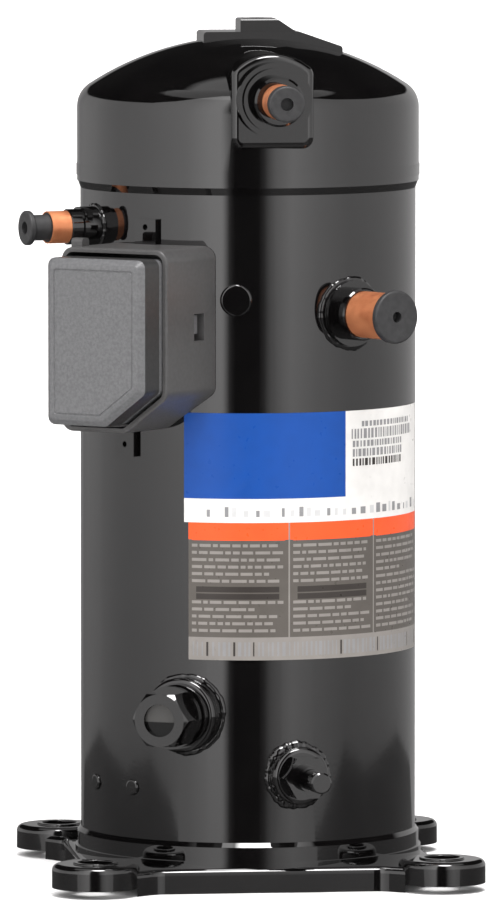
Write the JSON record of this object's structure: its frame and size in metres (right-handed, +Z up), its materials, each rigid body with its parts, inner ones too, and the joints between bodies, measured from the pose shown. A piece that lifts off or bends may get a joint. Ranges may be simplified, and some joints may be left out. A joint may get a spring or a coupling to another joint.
{
  "type": "scroll compressor",
  "caption": "Hermetic upright scroll compressor: glossy black shell on a square foot plate, with stub fittings, terminal box, sight glass and the full running gear inside.",
  "frame": {"origin": "on the vertical axis of the shell, level with the underside of the four ears of the foot plate, at the centre of the mounting hole square", "axes": "+Z up along the shell, -Y out of the front where the discharge fitting is, +X to the right seen from the front"},
  "size_m": [0.25, 0.2672, 0.474],
  "materials": {
    "black_paint": "high gloss black enamel over steel",
    "copper": "drawn copper tube, satin",
    "plug_rubber": "moulded rubber, matt",
    "box_plastic": "moulded plastic, satin",
    "cover_plastic": "moulded plastic with a sand texture",
    "seal_rubber": "soft rubber",
    "sight_glass": "clear glass over dark oil",
    "bead_glass": "fused glass",
    "label_film": "printed film, semi-gloss",
    "block_plastic": "moulded thermoset",
    "plated_steel": "zinc plated",
    "valve_brass": "machined brass",
    "cast_iron": "machined grey iron",
    "sintered_aluminium": "die cast aluminium",
    "bearing_metal": "lined bearing metal",
    "ground_steel": "ground steel",
    "lamination_steel": "pressed and laminated steel",
    "enamelled_wire": "enamelled copper wire",
    "lead_sleeve": "braided sleeve"
  },
  "bodies": {
    "housing": {"top_cap": "black_paint", "mid_shell": "black_paint", "bottom_cap": "black_paint", "base_plate": "black_paint", "lifting_bracket": "black_paint", "shell_welds": "black_paint", "discharge_fitting": "black_paint", "suction_fitting": "black_paint", "injection_fitting": "black_paint", "sight_glass_boss": "black_paint", "sight_glass_nut": "black_paint", "oil_valve_boss": "black_paint", "oil_valve_body": "black_paint", "terminal_brackets": "black_paint", "discharge_stub": "copper", "suction_stub": "copper", "injection_stub": "copper", "injection_tube": "copper", "terminal_box_base": "box_plastic", "terminal_gasket": "seal_rubber", "sight_glass_seal": "seal_rubber", "sight_glass_window": "sight_glass", "terminal_glass_beads": "bead_glass", "nameplate_label": "label_film", "terminal_block": "block_plastic", "terminal_nuts": "plated_steel", "ground_screw": "plated_steel", "hermetic_terminal": "plated_steel", "scroll_bolts": "plated_steel", "suction_baffle": "plated_steel", "thrust_washer": "plated_steel", "terminal_pins": "plated_steel", "relief_valve": "valve_brass", "main_bearing_housing": "cast_iron", "main_bearing_bush": "bearing_metal", "lower_bearing_bush": "bearing_metal", "stator_core": "lamination_steel", "lower_bearing_bracket": "lamination_steel", "muffler_plate": "lamination_steel", "stator_windings": "enamelled_wire", "internal_leads": "lead_sleeve"},
    "crankshaft": {"crankshaft": "ground_steel", "drive_bushing": "ground_steel", "rotor_core": "lamination_steel", "rotor_end_rings": "sintered_aluminium", "counterweights": "cast_iron", "oil_pickup": "plated_steel"},
    "orbiting": {"orbiting_scroll": "cast_iron", "hub_bush": "bearing_metal"},
    "oldham": {"oldham_ring": "sintered_aluminium"},
    "fixed": {"fixed_scroll": "cast_iron", "discharge_valve_retainer": "plated_steel"},
    "seal": {"floating_seal": "cast_iron"},
    "valve_disc": {"discharge_valve_disc": "ground_steel"},
    "cover": {"terminal_cover": "cover_plastic"},
    "discharge_cap": {"discharge_plug": "plug_rubber"},
    "suction_cap": {"suction_plug": "plug_rubber"},
    "injection_cap": {"injection_plug": "plug_rubber"},
    "valve_cap": {"oil_valve_cap": "black_paint"},
    "valve_core": {"oil_valve_core": "valve_brass"}
  },
  "joints": [
    {"name": "shaft_spin", "type": "hinge", "parent": "housing", "child": "crankshaft", "pos_m": [0, 0, 0.2], "axis": [0, 0, 1], "continuous": true},
    {"name": "scroll_orbit", "type": "hinge", "parent": "crankshaft", "child": "orbiting", "pos_m": [0, 0.004, 0.3], "axis": [0, 0, 1], "continuous": true},
    {"name": "oldham_slide", "type": "slide", "parent": "housing", "child": "oldham", "axis": [1, 0, 0], "range_m": [-0.004, 0.004]},
    {"name": "fixed_scroll_float", "type": "slide", "parent": "housing", "child": "fixed", "axis": [0, 0, 1], "range_m": [0, 0.0005]},
    {"name": "seal_float", "type": "slide", "parent": "fixed", "child": "seal", "axis": [0, 0, 1], "range_m": [0, 0.0009]},
    {"name": "discharge_valve_lift", "type": "slide", "parent": "fixed", "child": "valve_disc", "axis": [0, 0, 1], "range_m": [0, 0.004]},
    {"name": "terminal_cover_pull", "type": "slide", "parent": "housing", "child": "cover", "axis": [-0.6361, -0.7716, 0], "range_m": [0, 0.06]},
    {"name": "discharge_plug_pull", "type": "slide", "parent": "housing", "child": "discharge_cap", "axis": [0.0209, -0.9998, 0], "range_m": [0, 0.05]},
    {"name": "suction_plug_pull", "type": "slide", "parent": "housing", "child": "suction_cap", "axis": [0.5, -0.866, 0], "range_m": [0, 0.05]},
    {"name": "injection_plug_pull", "type": "slide", "parent": "housing", "child": "injection_cap", "axis": [-0.9511, -0.309, 0], "range_m": [0, 0.05]},
    {"name": "oil_valve_cap_pull", "type": "slide", "parent": "housing", "child": "valve_cap", "axis": [0.1736, -0.9848, 0], "range_m": [0, 0.03]},
    {"name": "oil_valve_core_push", "type": "slide", "parent": "housing", "child": "valve_core", "axis": [0.1736, -0.9848, 0], "range_m": [-0.0015, 0], "stiffness_N_per_m": 600}
  ],
  "couplings": [
    {"joint": "scroll_orbit", "follows": "shaft_spin", "ratio": -1}
  ]
}
